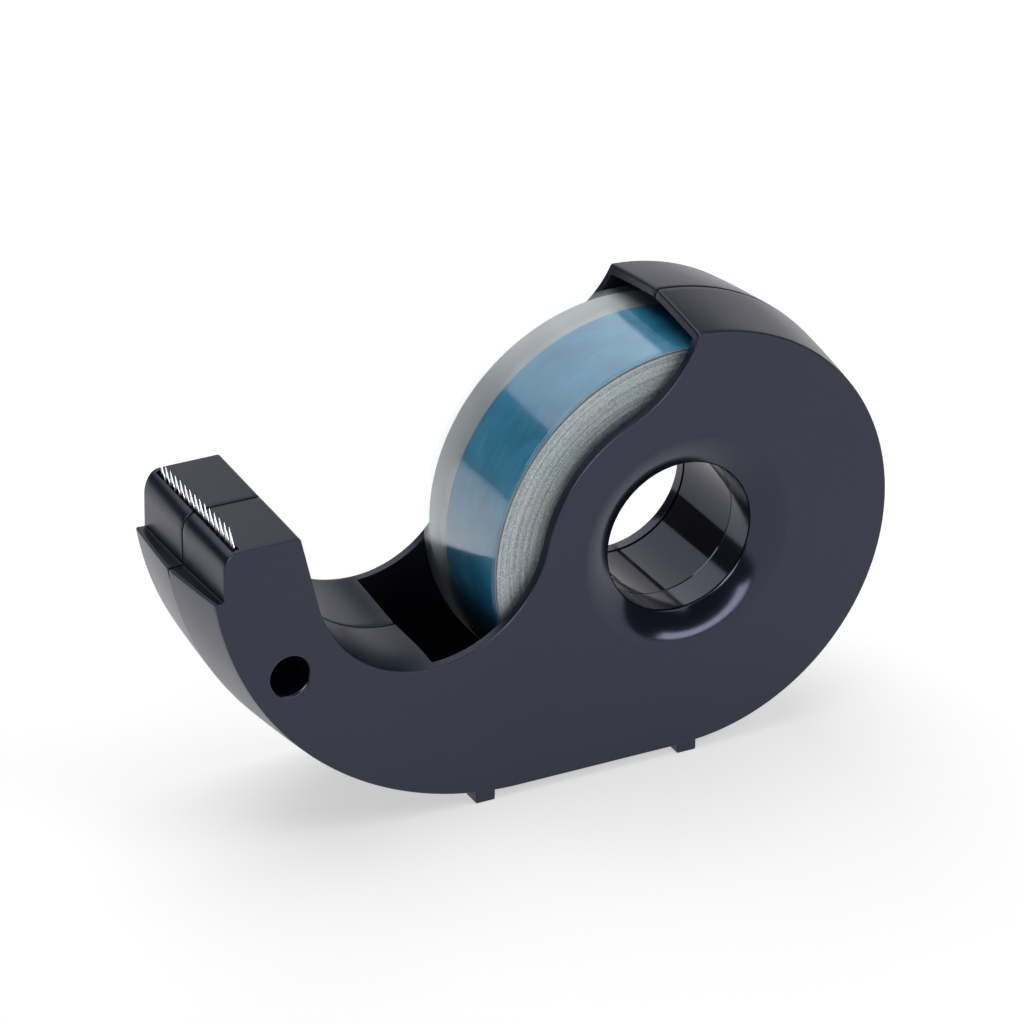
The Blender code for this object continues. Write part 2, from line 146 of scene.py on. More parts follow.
# The hollows
HOLLOW_START = -1.0  # they begin this far past the mid-plane
HOLLOW_CROWN_END = -80
MOUTH_TURN = 8  # degrees that the mouth opens past the lip
MOUTH_CORNERS = ((-22.0, 26.0), (-9.0, 33.0))
BACK_WALL = 1.03 * WALL  # across the slanted back of the nose, along X
HOLLOW_BASE_X = 2.0  # the compartment's flat bottom begins here

# ---------------------------------------------------------------- rounding, only here

EDGE_ROUND = 0.2  # where the side face turns into the crowned skin
SEAM_ROUND = 0.16
SEAM_DEPTH = 0.34  # of the groove along the seam
TIGHT_SEAM = 0.01  # half the gap at the bottom of the groove
GROOVE_LIP_MARGIN = 0.5  # under the ledge the groove starts to close this far below the lip
GROOVE_LIP_RUN = 0.8
GROOVE_BASE_RUN = 3.0  # and it opens again over this length before the flat base
GROOVE_FLOOR_MARGIN = 1.0
LIP_CORNER_ROUND = 0.45
LIP_TIP_ROUND = 0.3
LEDGE_ROUND = 0.15
NOSE_CORNER_ROUND = 0.6
HOLE_ROUND = 0.4
BORE_ROUND = 0.5
SPIGOT_CHAMFER = 0.2
SLEEVE_ROUND = 0.15
CORE_CHAMFER = 0.25
BAND_CHAMFER = 0.02
FILM_CHAMFER = 0.06
RIM_ROUND = 0.09  # shading only, on the rims that the hollows leave
FOOT_ROUND = 0.25
FOOT_INSET = 0.05
VALLEY_SHARE = 0.35  # of the blade's thickness, between the ridges ground on its teeth
TIP_SHARE = 0.12
WOUND_STEPS = 72  # in each side face of the wound turns
WOUND_DEPTH = 0.1
OVERRUN = 1.0  # cutting tools pass this far beyond the faces they open

ARC_STEPS = 160
LATHE_STEPS = 192
FINE_LATHE_STEPS = 256
LOOP_COUNTS = (250, 5, 44, 190)  # points on the back, the ledge, the nose and the throat


# ---------------------------------------------------------------- mesh helpers


def object_from(bm, name, body=None, sharp=35):
    """An object from a bmesh in hub millimetres. Without a body it is a cutting tool."""
    bmesh.ops.recalc_face_normals(bm, faces=bm.faces)
    bmesh.ops.transform(bm, matrix=Matrix.Translation(HUB) @ Matrix.Scale(MM, 4), verts=bm.verts)
    mesh = bpy.data.meshes.new(name)
    bm.to_mesh(mesh)
    bm.free()
    obj = bpy.data.objects.new(name, mesh)
    bpy.context.scene.collection.objects.link(obj)
    if body:
        finish_mesh(obj, body, sharp)
    return obj


def finish_mesh(obj, body, sharp=35):
    obj.data.shade_smooth()
    obj.data.set_sharp_from_angle(angle=math.radians(sharp))
    even = obj.modifiers.new("even_normals", "WEIGHTED_NORMAL")
    even.keep_sharp = True
    even.weight = 100
    apply_modifiers(obj)
    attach(obj, body)


def apply_modifiers(obj):
    graph = bpy.context.evaluated_depsgraph_get()
    made = bpy.data.meshes.new_from_object(obj.evaluated_get(graph))
    obj.modifiers.clear()
    old = obj.data
    obj.data = made
    bpy.data.meshes.remove(old)


def flatten_side_face(obj, side):
    """Points every normal of the outer side face straight out, so that it shades as one plane."""
    mesh = obj.data
    normals = np.empty(len(mesh.loops) * 3)
    mesh.corner_normals.foreach_get("vector", normals)
    normals = normals.reshape(-1, 3)
    places = np.empty(len(mesh.vertices) * 3)
    mesh.vertices.foreach_get("co", places)
    corners = np.empty(len(mesh.loops), int)
    mesh.loops.foreach_get("vertex_index", corners)
    out = side * (places.reshape(-1, 3)[corners, 1] - HUB.y) / MM
    faces = np.empty(len(mesh.polygons) * 3)
    mesh.polygons.foreach_get("normal", faces)
    totals = np.empty(len(mesh.polygons), int)
    mesh.polygons.foreach_get("loop_total", totals)
    facing = side * np.repeat(faces.reshape(-1, 3)[:, 1], totals)
    flat = (out > HALF_WIDTH - 1e-3) & (facing > 0.2)
    normals[flat] = (0, side, 0)
    mesh.normals_split_custom_set(normals.tolist())


def cut_or_join(obj, tool, operation):
    """Applies one Boolean and removes its tool."""
    step = obj.modifiers.new("step", "BOOLEAN")
    step.operation = operation
    step.object = tool
    step.solver = "MANIFOLD"
    apply_modifiers(obj)
    used = tool.data
    bpy.data.objects.remove(tool)
    bpy.data.meshes.remove(used)


# ---------------------------------------------------------------- plane geometry


def arc(centre, radius, start, end, count):
    """Points on an arc from start to end degrees, both included."""
    turn = np.radians(np.linspace(start, end, count))
    return np.stack([centre[0] + radius * np.cos(turn), centre[1] + radius * np.sin(turn)], axis=1)


def line(start, end, count):
    share = np.linspace(0, 1, count)[:, None]
    return np.array(start) * (1 - share) + np.array(end) * share


def bearing(centre, point):
    return math.degrees(math.atan2(point[1] - centre[1], point[0] - centre[0]))


def circles_meet(first, first_radius, second, second_radius):
    """The right-hand crossing of two circles."""
    span = math.dist(first, second)
    along = (first_radius**2 - second_radius**2 + span**2) / (2 * span)
    across = math.sqrt(first_radius**2 - along**2)
    ux = (second[0] - first[0]) / span
    uz = (second[1] - first[1]) / span
    foot = (first[0] + ux * along, first[1] + uz * along)
    sides = [(foot[0] - uz * s, foot[1] + ux * s) for s in (across, -across)]
    return max(sides)


def lengths_along(points):
    steps = np.linalg.norm(np.diff(points, axis=0), axis=1)
    return np.concatenate([[0.0], np.cumsum(steps)])


def stretch(points, first, last, count):
    """count points evenly spaced between two distances along a polyline."""
    run = lengths_along(points)
    wanted = np.linspace(first, run[-1] - last, count)
    return np.stack([np.interp(wanted, run, points[:, k]) for k in (0, 1)], axis=1)


def corner_reach(before, after, radius):
    """How far from a corner its rounding starts."""
    a = before[-1] - before[-2]
    b = after[1] - after[0]
    cosine = np.dot(a, b) / (np.linalg.norm(a) * np.linalg.norm(b))
    return radius * math.tan(math.acos(max(-1.0, min(1.0, cosine))) / 2)


def rounded_loop(runs, radii, counts, steps=6):
    """A closed outline through runs of points. radii[k] rounds the corner at the start of run k."""
    total = len(runs)
    reach = [corner_reach(runs[k - 1], runs[k], radii[k]) for k in range(total)]
    trimmed = []
    for k in range(total):
        trimmed.append(stretch(runs[k], reach[k], reach[(k + 1) % total], counts[k]))
    loop = []
    for k in range(total):
        start = trimmed[k - 1][-1]
        end = trimmed[k][0]
        corner = runs[k][0]
        for share in np.linspace(0, 1, steps + 1)[1:-1]:
            loop.append((1 - share) ** 2 * start + 2 * share * (1 - share) * corner + share**2 * end)
        loop.extend(trimmed[k])
    return np.array(loop)


def inward(loop, amount):
    """The loop moved into the material by amount. Loops run clockwise, so the inside is on the right."""
    along = np.roll(loop, -1, axis=0) - np.roll(loop, 1, axis=0)
    along /= np.linalg.norm(along, axis=1)[:, None]
    right = np.stack([along[:, 1], -along[:, 0]], axis=1)
    return loop + right * amount


FLOOR_RADIUS = math.hypot(*FLOOR_CENTRE) - RIM_RADIUS
LIP_ARC_RADIUS = math.hypot(*LIP_ARC_CENTRE) - RIM_RADIUS
BELLY_RADIUS = BELLY_CENTRE[1] - BASE_Z


def back_face_x(z):
    return NOSE_BACK_X + NOSE_BACK_SLOPE * (NOSE_TOP_Z - z)


def floor_start():
    """Bearing, from the floor's centre, of the point where the slanted nose back runs into the floor."""
    return 180 + math.degrees(math.atan(NOSE_BACK_SLOPE))


# ---------------------------------------------------------------- crowned skin


def crown_share(t):
    """How much of the crown is left at t, from 1 at the seam (t = 0) to 0 at the side face (t = 1)."""
    return 1 - TENT * t - (1 - TENT) * t * t


def pushed(points, centre, amounts):
    away = points - np.array(centre)
    away /= np.linalg.norm(away, axis=1)[:, None]
    return points + away * amounts[:, None]


def back_lift(points, radius):
    """The full crown of each point on the round back, which fades towards the base."""
    low_share = np.clip(points[:, 0] / (FADE * radius), 0, 1)
    return np.where(points[:, 1] < 0, LOW_CROWN + (CROWN - LOW_CROWN) * low_share, CROWN)


def belly_lift(points, radius):
    """The full crown of each point on the belly, which fades towards the base."""
    fade = np.clip((BELLY_CENTRE[0] - points[:, 0]) / radius / FADE, 0, 1)
    return LOW_CROWN + (NOSE_CROWN - LOW_CROWN) * fade


def back_run(t):
    """Down the round back from the lip, along the base and up the belly to the tip of the front lip."""
    share = crown_share(t)
    corner = circles_meet((0, 0), SIDE_RADIUS + CROWN * share, LIP_ARC_CENTRE, LIP_ARC_RADIUS)
    crown = arc((0, 0), SIDE_RADIUS, bearing((0, 0), corner), CROWN_END, ARC_STEPS)
    crown = pushed(crown, (0, 0), back_lift(crown, SIDE_RADIUS) * share)
    base_z = BASE_Z - LOW_CROWN * share
    base = line((0.0, base_z), (BELLY_CENTRE[0] + BASE_STOP, base_z), 24)
    belly = arc(BELLY_CENTRE, BELLY_RADIUS, -90, bearing(BELLY_CENTRE, LIP_TIP), ARC_STEPS)
    belly = pushed(belly, BELLY_CENTRE, belly_lift(belly, BELLY_RADIUS) * share)
    return np.concatenate([crown, base, belly])


def ledge_run(t, tip):
    return line(tip, (FRONT_X - FRONT_CROWN * crown_share(t), LEDGE_Z), 8)


def top_crown(t, side):
    if side > 0:
        return TOP_CROWN + FAR_TOP_RISE * t
    return TOP_CROWN * crown_share(t)


def nose_run(t, side):
    """Up the front of the nose, over its rounded edge and along its top."""
    out = FRONT_CROWN * crown_share(t)
    up = top_crown(t, side)
    centre = (FRONT_X + FRONT_ROUNDING, NOSE_TOP_Z - FRONT_ROUNDING)
    turn = np.radians(np.linspace(180, 90, 14))
    edge_x = centre[0] + (FRONT_ROUNDING + out) * np.cos(turn)
    edge_z = centre[1] + (FRONT_ROUNDING + up) * np.sin(turn)
    front = line((FRONT_X - out, LEDGE_Z), (FRONT_X - out, centre[1]), 12)[:-1]
    top = line((centre[0], NOSE_TOP_Z + up), (NOSE_BACK_X, NOSE_TOP_Z + up), 16)[1:]
    return np.concatenate([front, np.stack([edge_x, edge_z], axis=1), top])


def throat_lift(t, side):
    if side > 0:
        return THROAT_LIFT + FAR_THROAT_RISE * t
    return THROAT_LIFT * (1 - t**4)


def throat_run(t, side):
    """Down the back of the nose, along the floor, and up the rims of the side wall to the lip."""
    lift = throat_lift(t, side)
    hub_bearing = bearing(FLOOR_CENTRE, (0, 0))
    floor = arc(FLOOR_CENTRE, FLOOR_RADIUS, floor_start(), 360 + hub_bearing, ARC_STEPS)
    low = np.clip((FLOOR_CENTRE[1] - floor[:, 1]) / FLOOR_RADIUS, 0, 1)
    low[floor[:, 0] > FLOOR_CENTRE[0]] = 1.0
    floor = pushed(floor, FLOOR_CENTRE, -lift * low)
    rim = arc((0, 0), RIM_RADIUS + lift, hub_bearing + 180, bearing((0, 0), LIP_ARC_CENTRE), 60)
    corner = circles_meet((0, 0), SIDE_RADIUS + CROWN * crown_share(t), LIP_ARC_CENTRE, LIP_ARC_RADIUS)
    lip_start = bearing(LIP_ARC_CENTRE, (0, 0))
    lip = arc(LIP_ARC_CENTRE, LIP_ARC_RADIUS, lip_start, bearing(LIP_ARC_CENTRE, corner), 60)
    left = np.clip((corner[0] - lip[:, 0]) / (corner[0] - lip[0, 0]), 0, 1)
    lip = pushed(lip, LIP_ARC_CENTRE, -lift * (1 - (1 - left) ** LIP_FADE))
    top = (NOSE_BACK_X, NOSE_TOP_Z + top_crown(t, side))
    back = line(top, floor[0], 12)[:-1]
    return np.concatenate([back, floor, rim[1:], lip[1:]])


def skin_loop(t, side):
    back = back_run(t)
    ledge = ledge_run(t, back[-1])
    runs = [back, ledge, nose_run(t, side), throat_run(t, side)]
    radii = [LIP_CORNER_ROUND, LIP_TIP_ROUND, LEDGE_ROUND, NOSE_CORNER_ROUND]
    return rounded_loop(runs, radii, LOOP_COUNTS)


def closed_share(loop):
    """Where the halves meet tightly, without a rolled seam: 1 on the belly below the lip, 0 elsewhere."""
    below_lip = np.clip((LEDGE_Z - GROOVE_LIP_MARGIN - loop[:, 1]) / GROOVE_LIP_RUN, 0, 1)
    before_base = np.clip((BELLY_START - loop[:, 0]) / GROOVE_BASE_RUN, 0, 1)
    reach = np.hypot(loop[:, 0] - FLOOR_CENTRE[0], loop[:, 1] - FLOOR_CENTRE[1])
    below_floor = reach > FLOOR_RADIUS + GROOVE_FLOOR_MARGIN
    before_back = loop[:, 0] < back_face_x(NOSE_TOP_Z)
    return below_lip * before_base * (below_floor | before_back)


def skin_sections(side):
    """(distance from the mid-plane, loop) of each section, from the seam out to the side face."""
    found = []
    span = HALF_WIDTH - SEAM
    bottom = skin_loop(0.0, side)
    depth = SEAM_DEPTH * (1 - closed_share(bottom))
    for y in (TIGHT_SEAM, SEAM - TIGHT_SEAM):
        found.append((y, inward(bottom, depth[:, None])))
    for turn in np.radians(np.linspace(0, 90, 4)[:-1]):
        y = SEAM + SEAM_ROUND * (1 - math.cos(turn))
        loop = skin_loop((y - SEAM) / span, side)
        depth = SEAM_ROUND * (1 - math.sin(turn)) * (1 - closed_share(loop))
        found.append((y, inward(loop, depth[:, None])))
    for y in np.linspace(SEAM + SEAM_ROUND, HALF_WIDTH - EDGE_ROUND, 17):
        found.append((y, skin_loop((y - SEAM) / span, side)))
    for turn in np.radians(np.linspace(0, 90, 6)[1:]):
        y = HALF_WIDTH - EDGE_ROUND * (1 - math.sin(turn))
        found.append((y, inward(skin_loop((y - SEAM) / span, side), EDGE_ROUND * (1 - math.cos(turn)))))
    return found


def loft(sections, side):
    """A closed body through loops that all have the same number of points."""
    bm = bmesh.new()
    rows = []
    for y, loop in sections:
        rows.append([bm.verts.new((x, side * y, z)) for x, z in loop])
    for lower, upper in zip(rows, rows[1:]):
        for k in range(len(lower)):
            n = (k + 1) % len(lower)
            bm.faces.new((lower[k], lower[n], upper[n], upper[k]))
    bmesh.ops.triangulate(bm, faces=bm.faces)
    bm.faces.new(rows[0])
    bm.faces.new(rows[-1])
    return bm


def compartment_sections():
    """The hollow that holds the roll, which also opens the mouth above the side walls' rims."""
    inner = SIDE_RADIUS - WALL
    lip = circles_meet((0, 0), inner, LIP_ARC_CENTRE, LIP_ARC_RADIUS)
    belly = BELLY_RADIUS - WALL
    edge = -math.degrees(math.acos((FLOOR_EDGE_X - BELLY_CENTRE[0]) / belly))
    tail = np.array([(FLOOR_EDGE_X, 0.0), *MOUTH_CORNERS])
    found = []
    for y in np.linspace(HOLLOW_START, HALF_WIDTH - WALL, 12):
        share = crown_share(max(0.0, y) / HALF_WIDTH)
        crown = arc((0, 0), inner, bearing((0, 0), lip) + MOUTH_TURN, HOLLOW_CROWN_END, ARC_STEPS)
        crown = pushed(crown, (0, 0), back_lift(crown, inner) * share)
        base = np.array([(HOLLOW_BASE_X, BASE_Z + WALL)])
        low = arc(BELLY_CENTRE, belly, -90, edge, 24)
        found.append((y, np.concatenate([crown, base, low, tail])))
    return found


def nose_hollow_sections():
    """The hollow behind the cutter block, closed by the floor above it and the partition behind it."""
    inner = BELLY_RADIUS - WALL
    front = FRONT_X + WALL
    partition = FLOOR_EDGE_X - WALL
    ceiling = NOSE_TOP_Z - WALL
    start = -math.degrees(math.acos((partition - BELLY_CENTRE[0]) / inner))
    end = -math.degrees(math.acos((front - BELLY_CENTRE[0]) / inner))
    floor_end = 360 - math.degrees(math.acos((partition - FLOOR_CENTRE[0]) / (FLOOR_RADIUS + WALL)))
    middle = np.array([
        (front, BLOCK_BOTTOM_Z),
        (BLOCK_BACK_X, BLOCK_BOTTOM_Z),
        (BLOCK_BACK_X, ceiling),
        (back_face_x(ceiling) - BACK_WALL, ceiling),
    ])
    found = []
    for y in np.linspace(HOLLOW_START, HALF_WIDTH - WALL, 8):
        share = crown_share(max(0.0, y) / HALF_WIDTH)
        belly = arc(BELLY_CENTRE, inner, start, end, 60)
        belly = pushed(belly, BELLY_CENTRE, belly_lift(belly, inner) * share)
        floor = arc(FLOOR_CENTRE, FLOOR_RADIUS + WALL, floor_start(), floor_end, 40)
        found.append((y, np.concatenate([belly, middle, floor])))
    return found


# ---------------------------------------------------------------- turned and straight bodies


def lathe(profile, centre=(0, 0), steps=LATHE_STEPS):
    """A body turned about an axis along Y, from a closed profile of (radius, y) points."""
    bm = bmesh.new()
    rows = []
    for radius, y in profile:
        if radius < 1e-6:
            rows.append([bm.verts.new((centre[0], y, centre[1]))])
            continue
        row = []
        for k in range(steps):
            turn = 2 * math.pi * k / steps
            x = centre[0] + radius * math.cos(turn)
            row.append(bm.verts.new((x, y, centre[1] + radius * math.sin(turn))))
        rows.append(row)
    for j in range(len(rows)):
        join_rings(bm, rows[j - 1], rows[j], steps)
    return bm


def join_rings(bm, lower, upper, steps):
    if len(lower) == 1 and len(upper) == 1:
        return
    for k in range(steps):
        n = (k + 1) % steps
        if len(lower) == 1:
            bm.faces.new((lower[0], upper[n], upper[k]))
        elif len(upper) == 1:
            bm.faces.new((lower[k], lower[n], upper[0]))
        else:
            bm.faces.new((lower[k], lower[n], upper[n], upper[k]))


def rod(radius, first_y, last_y, centre=(0, 0), steps=48):
    return lathe([(0, first_y), (radius, first_y), (radius, last_y), (0, last_y)], centre, steps)


def ring_profile(inner, outer, low, high, chamfer):
    """A rectangle with small chamfers, as a closed (radius, y) profile."""
    return [
        (inner + chamfer, low),
        (outer - chamfer, low),
        (outer, low + chamfer),
        (outer, high - chamfer),
        (outer - chamfer, high),
        (inner + chamfer, high),
        (inner, high - chamfer),
        (inner, low + chamfer),
    ]


def block(low, high, rounding=0.0):
    bm = bmesh.new()
    bmesh.ops.create_cube(bm, size=1)
    size = [b - a for a, b in zip(low, high)]
    middle = [(a + b) / 2 for a, b in zip(low, high)]
    bmesh.ops.scale(bm, verts=bm.verts, vec=size)
    bmesh.ops.translate(bm, verts=bm.verts, vec=middle)
    if rounding:
        bmesh.ops.bevel(bm, geom=bm.edges, offset=rounding, segments=4, profile=0.5, affect="EDGES")
    return bm


# ---------------------------------------------------------------- half shells


def dish_points(side):
    """Down the dish from its rim on the side face, then over the rolled edge into the bore."""
    width = DISH_RADIUS - BORE_RADIUS
    steepest = math.atan(DISH_POWER * DISH_DEPTH / width)
    radii = np.linspace(DISH_RADIUS, BORE_RADIUS + BORE_ROUND * (1 - math.sin(steepest)), 60)
    depths = DISH_DEPTH * ((DISH_RADIUS - radii) / width) ** DISH_POWER
    points = list(zip(radii, side * (HALF_WIDTH - depths)))
    for turn in np.linspace(steepest, math.pi / 2, 9)[1:]:
        fall = depths[-1] + BORE_ROUND * (math.cos(steepest) - math.cos(turn))
        points.append((BORE_RADIUS + BORE_ROUND * (1 - math.sin(turn)), side * (HALF_WIDTH - fall)))
    return points


def add_hub(shell, side, spigot_end):
    """The pad behind the dish, the spigot that carries the sleeve, and the bore through them."""
    root = HALF_WIDTH - WALL / 2
    pad = rod(PAD_RADIUS, side * root, side * PAD_END, steps=96)
    cut_or_join(shell, object_from(pad, "pad"), "UNION")
    spigot = lathe([
        (0, side * root),
        (SPIGOT_RADIUS, side * root),
        (SPIGOT_RADIUS, side * (spigot_end + SPIGOT_CHAMFER)),
        (SPIGOT_RADIUS - SPIGOT_CHAMFER, side * spigot_end),
        (0, side * spigot_end),
    ])
    cut_or_join(shell, object_from(spigot, "spigot"), "UNION")
    outside = side * (HALF_WIDTH + 2 * OVERRUN)
    inside = side * (spigot_end - 2 * OVERRUN)
    profile = [(0, outside), (DISH_RADIUS, outside), *dish_points(side), (BORE_RADIUS, inside), (0, inside)]
    cut_or_join(shell, object_from(lathe(profile), "bore"), "DIFFERENCE")


def add_cutter_slot(shell, side):
    end = TEETH * TOOTH_PITCH / 2 + SLOT_CLEARANCE
    ys = sorted((-side * OVERRUN, side * end))
    low = (-SLOT_WIDTH / 2, ys[0], -BLADE_DEPTH - SLOT_CLEARANCE)
    high = (SLOT_WIDTH / 2, ys[1], 3 * OVERRUN)
    bm = block(low, high)
    lean_blade(bm)
    cut_or_join(shell, object_from(bm, "slot"), "DIFFERENCE")


def add_pegs(shell, side):
    root = HALF_WIDTH - WALL / 2
    for place in PEG_PLACES:
        boss = rod(BOSS_RADIUS, side * root, side * BOSS_END, place)
        cut_or_join(shell, object_from(boss, "boss"), "UNION")
        if side > 0:
            peg = rod(PEG_RADIUS, PEG_ROOT, -PEG_REACH, place)
            cut_or_join(shell, object_from(peg, "peg"), "UNION")
        else:
            socket = rod(SOCKET_RADIUS, OVERRUN, -PEG_REACH - OVERRUN, place)
            cut_or_join(shell, object_from(socket, "socket"), "DIFFERENCE")


def add_nose_hole(shell, side):
    """The round hole in the nose, with a rolled edge at the side face."""
    root = HALF_WIDTH - WALL / 2
    boss = rod(NOSE_BOSS_RADIUS, side * root, side * BOSS_END, NOSE_HOLE)
    cut_or_join(shell, object_from(boss, "nose_boss"), "UNION")
    inner = NOSE_RECESS_END if side > 0 else OVERRUN
    profile = [(0, inner), (NOSE_HOLE_RADIUS, inner)]
    for turn in np.radians(np.linspace(0, 90, 9)):
        radius = NOSE_HOLE_RADIUS + HOLE_ROUND * (1 - math.cos(turn))
        profile.append((radius, side * (HALF_WIDTH - HOLE_ROUND * (1 - math.sin(turn)))))
    profile.append((NOSE_HOLE_RADIUS + HOLE_ROUND, side * (HALF_WIDTH + OVERRUN)))
    profile.append((0, side * (HALF_WIDTH + OVERRUN)))
    cut_or_join(shell, object_from(lathe(profile, NOSE_HOLE, 96), "nose_hole"), "DIFFERENCE")
    if side > 0:
        peg = rod(NOSE_PEG_RADIUS, PEG_ROOT, -NOSE_PEG_REACH, NOSE_HOLE)
        cut_or_join(shell, object_from(peg, "nose_peg"), "UNION")


def add_feet(shell, side):
    for x in FOOT_X:
        ys = sorted((side * (HALF_WIDTH - FOOT_DEPTH), side * (HALF_WIDTH - FOOT_INSET)))
        low = (x - FOOT_LENGTH / 2, ys[0], BASE_Z - FOOT_HEIGHT)
        high = (x + FOOT_LENGTH / 2, ys[1], BASE_Z + WALL / 2)
        cut_or_join(shell, object_from(block(low, high, FOOT_ROUND), "foot"), "UNION")


def half_shell(name, node, body, side, spigot_end):
    shell = object_from(loft(skin_sections(side), side), name)
    cut_or_join(shell, object_from(loft(compartment_sections(), side), "hollow"), "DIFFERENCE")
    cut_or_join(shell, object_from(loft(nose_hollow_sections(), side), "nose_hollow"), "DIFFERENCE")
    add_feet(shell, side)
    add_pegs(shell, side)
    add_nose_hole(shell, side)
    add_hub(shell, side, spigot_end)
    add_cutter_slot(shell, side)
    finish_mesh(shell, body)
    flatten_side_face(shell, side)
    shell.data.materials.clear()
    shell.data.materials.append(shell_plastic())
    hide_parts(node)


# ---------------------------------------------------------------- sleeve and cutter


def hub_sleeve():
    """The tube that the roll turns on, with rolled ends and a counterbore at each end."""
    socket = SPIGOT_RADIUS + SLEEVE_FIT
    end = SLEEVE_HALF_LENGTH
    near_step = -NEAR_SPIGOT_END + NEAR_END_GAP
    far_step = FAR_SPIGOT_END - PLAY
    edge = SLEEVE_ROUND
    profile = [
        (socket + edge, -end),
        (SLEEVE_RADIUS - edge, -end),
        (SLEEVE_RADIUS, -end + edge),
        (SLEEVE_RADIUS, end - edge),
        (SLEEVE_RADIUS - edge, end),
        (socket + edge, end),
        (socket, end - edge),
        (socket, far_step),
        (BORE_RADIUS + edge, far_step),
        (BORE_RADIUS, far_step - edge),
        (BORE_RADIUS, near_step + edge),
        (BORE_RADIUS + edge, near_step),
        (socket, near_step),
        (socket, -end + edge),
    ]
    sleeve = object_from(lathe(profile, steps=FINE_LATHE_STEPS), "sleeve", "main_half")
    sleeve.data.materials.append(sleeve_plastic())
    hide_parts("hub_sleeve")


def lean_blade(bm):
    """Moves a body drawn about the cutter's root line to its place, leaning forward over the front."""
    turn = Matrix.Rotation(-BLADE_LEAN, 4, "Y")
    bmesh.ops.transform(bm, matrix=turn, verts=bm.verts)
    bmesh.ops.translate(bm, verts=bm.verts, vec=(BLADE_X, 0, NOSE_TOP_Z))


def cutter():
    """A steel strip whose teeth are ground to a ridge on both faces."""
    half = TEETH * TOOTH_PITCH / 2
    thick = BLADE_THICKNESS / 2
    thin = thick * VALLEY_SHARE
    bm = bmesh.new()

    def vert(x, y, z):
        return bm.verts.new((x, y, z))

    for k in range(TEETH):
        left = -half + k * TOOTH_PITCH
        middle = left + TOOTH_PITCH / 2
        right = left + TOOTH_PITCH
        for face in (-1, 1):
            low_left = vert(face * thin, left, -BLADE_DEPTH)
            low_right = vert(face * thin, right, -BLADE_DEPTH)
            low_middle = vert(face * thick, middle, -BLADE_DEPTH)
            root_left = vert(face * thin, left, TOOTH_ROOT)
            root_right = vert(face * thin, right, TOOTH_ROOT)
            root_middle = vert(face * thick, middle, TOOTH_ROOT)
            tip = vert(face * thick * TIP_SHARE, middle, TOOTH_HEIGHT)
            bm.faces.new((low_left, low_middle, root_middle, root_left))
            bm.faces.new((low_middle, low_right, root_right, root_middle))
            bm.faces.new((root_left, root_middle, tip))
            bm.faces.new((root_middle, root_right, tip))
    bmesh.ops.remove_doubles(bm, verts=bm.verts, dist=1e-4)
    close_rims(bm)
    lean_blade(bm)
    blade = object_from(bm, "cutter", "main_half", sharp=8)
    blade.data.materials.append(ground_steel())
    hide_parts("cutter_blade")


def close_rims(bm):
    """Joins the open edges of the two faces of the cutter, edge to opposite edge."""
    bm.verts.ensure_lookup_table()
    open_edges = [edge for edge in bm.edges if len(edge.link_faces) == 1]

    def key(vert):
        return (round(vert.co.y, 4), round(vert.co.z, 4))

    by_place = {}
    for edge in open_edges:
        ends = tuple(sorted(key(v) for v in edge.verts))
        by_place.setdefault(ends, []).append(edge)
    for pair in by_place.values():
        if len(pair) != 2:
            continue
        first, second = pair
        a, b = first.verts
        c, d = second.verts
        if key(a) != key(d):
            c, d = d, c
        bm.faces.new((a, b, c, d))


# ---------------------------------------------------------------- roll of tape


def wound_profile(inner, outer, half, steps, depth):
    """A ring whose side faces step in and out by depth from turn to turn, as a wound roll's do."""
    draw = np.random.default_rng(7)
    radii = np.linspace(inner, outer, steps)
    low = -half + depth * draw.random(steps)
    high = half - depth * draw.random(steps)
    return [(r, y) for r, y in zip(radii, low)] + [(r, y) for r, y in zip(radii[::-1], high[::-1])]


def tape_core():
    profile = ring_profile(*CORE_RADII, -ROLL_HALF_WIDTH, ROLL_HALF_WIDTH, CORE_CHAMFER)
    core = object_from(lathe(profile), "core", "tape_roll")
    core.data.materials.append(core_plastic())
    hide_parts("tape_core")


def tape_turns():
    profile = wound_profile(*TURNS_RADII, ROLL_HALF_WIDTH, WOUND_STEPS, WOUND_DEPTH)
    turns = object_from(lathe(profile, steps=FINE_LATHE_STEPS), "wound_turns", "tape_roll", sharp=60)
    turns.data.materials.append(wound_tape())
    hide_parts("tape_turns")


def printed_band():
    profile = ring_profile(*BAND_RADII, *BAND_Y, BAND_CHAMFER)
    band = object_from(lathe(profile, steps=FINE_LATHE_STEPS), "blue_band", "tape_roll", sharp=30)
    band.data.materials.append(band_print())
    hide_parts("printed_band")


def outer_turns():
    profile = ring_profile(*OUTER_TURNS_RADII, -ROLL_HALF_WIDTH, ROLL_HALF_WIDTH, FILM_CHAMFER)
    film = object_from(lathe(profile, steps=FINE_LATHE_STEPS), "clear_film", "tape_roll", sharp=30)
    film.data.materials.append(clear_film())
    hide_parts("outer_turns")


# ---------------------------------------------------------------- materials

POLISH_RUN = (-0.3, 0.8)  # the polish gives way to the satin between these distances past its rim
GRAIN_STRENGTH = 0.12
OUTSIDE_SKIN = (0.1, 0.02)  # the rolled outside takes over between these depths under it
BARE_MARGIN = (0.05, 0.25)  # the print starts between these distances from the band's near edge
LOOSE_RUN = (-1.2, 1.4)  # the film goes from taut to loose between these, about the band's far edge
MIRROR_POWER = 4.0


def new_material(name):
    found = bpy.data.materials.new(name)
    found.use_nodes = True
    tree = found.node_tree
    return found, tree, tree.nodes["Principled BSDF"]


def node(tree, kind, **settings):
    made = tree.nodes.new(kind)
    for key, value in settings.items():
        setattr(made, key, value)
    return made


def place_of(tree):
    """The object's own coordinates, which are the row frame's at rest."""
    return node(tree, "ShaderNodeTexCoord").outputs["Object"]


